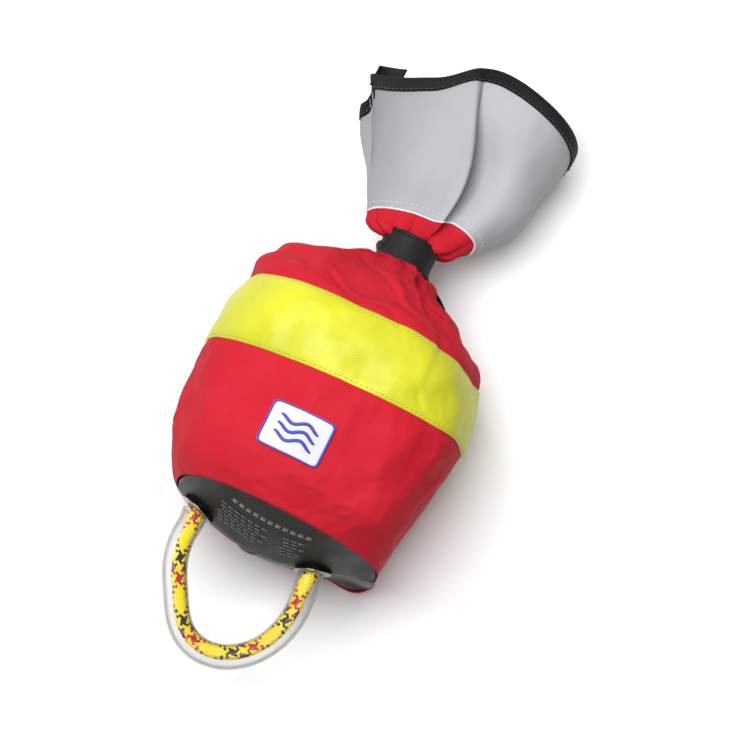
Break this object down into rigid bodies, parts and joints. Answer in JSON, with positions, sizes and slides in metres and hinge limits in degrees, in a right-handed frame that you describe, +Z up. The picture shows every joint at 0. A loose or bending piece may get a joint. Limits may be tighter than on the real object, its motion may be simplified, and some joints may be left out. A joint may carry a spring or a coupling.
{
  "type": "throw rope bag",
  "caption": "Stuffed rescue line bag lying on its back, with strapped neck, flared mouth collar and a sleeved rope loop handle.",
  "frame": {"origin": "on the surface that the bag lies on, under the middle of its bounding box", "axes": "+Y along the bag from the base to the mouth, +Z up, +X to the right seen from above with the mouth away"},
  "size_m": [0.1874, 0.4482, 0.1538],
  "materials": {
    "red_cloth": "coated plain-weave nylon",
    "yellow_tape": "fluorescent retroreflective tape",
    "silver_tape": "silver retroreflective cloth",
    "white_patch": "embroidered twill",
    "black_base": "heavy coated cloth, semi-gloss",
    "black_webbing": "woven webbing and tape",
    "line": "braided floating line with red and black tracers",
    "foam": "closed-cell foam",
    "clear_hose": "clear soft hose",
    "nickel": "plated eyelet"
  },
  "bodies": {
    "bag": {"body_shell": "red_cloth", "reflective_band": "yellow_tape", "label_patch": "white_patch", "base_panel": "black_base", "eyelet_left": "nickel", "eyelet_right": "nickel", "rope_stub_left": "line", "rope_stub_right": "line", "stopper_knot": "line", "lead_knot": "line", "lead_line": "line", "foam_float": "foam", "rope_pack": "line", "free_end_knot": "line", "neck_strap": "black_webbing", "strap_anchor": "black_webbing", "loop_tape": "black_webbing"},
    "handle": {"handle_rope": "line", "handle_hose": "clear_hose"},
    "strap_tab": {"strap_end_tab": "black_webbing", "hook_tape": "black_webbing"},
    "collar": {"collar_cloth": "red_cloth", "collar_band": "silver_tape", "mouth_binding": "black_webbing", "mouth_tab": "black_webbing"}
  },
  "joints": [
    {"name": "handle_swing", "type": "hinge", "parent": "bag", "child": "handle", "pos_m": [-0.004, -0.14456, 0.073], "axis": [1, 0, 0], "range_deg": [-50, 50]},
    {"name": "collar_tilt", "type": "hinge", "parent": "bag", "child": "collar", "pos_m": [0, 0.0964, 0.058], "axis": [1, 0, 0], "range_deg": [0, 35]},
    {"name": "strap_tab_peel", "type": "hinge", "parent": "bag", "child": "strap_tab", "pos_m": [0.01813, 0.086, 0.0617], "axis": [0, 1, 0], "range_deg": [0, 90]}
  ]
}
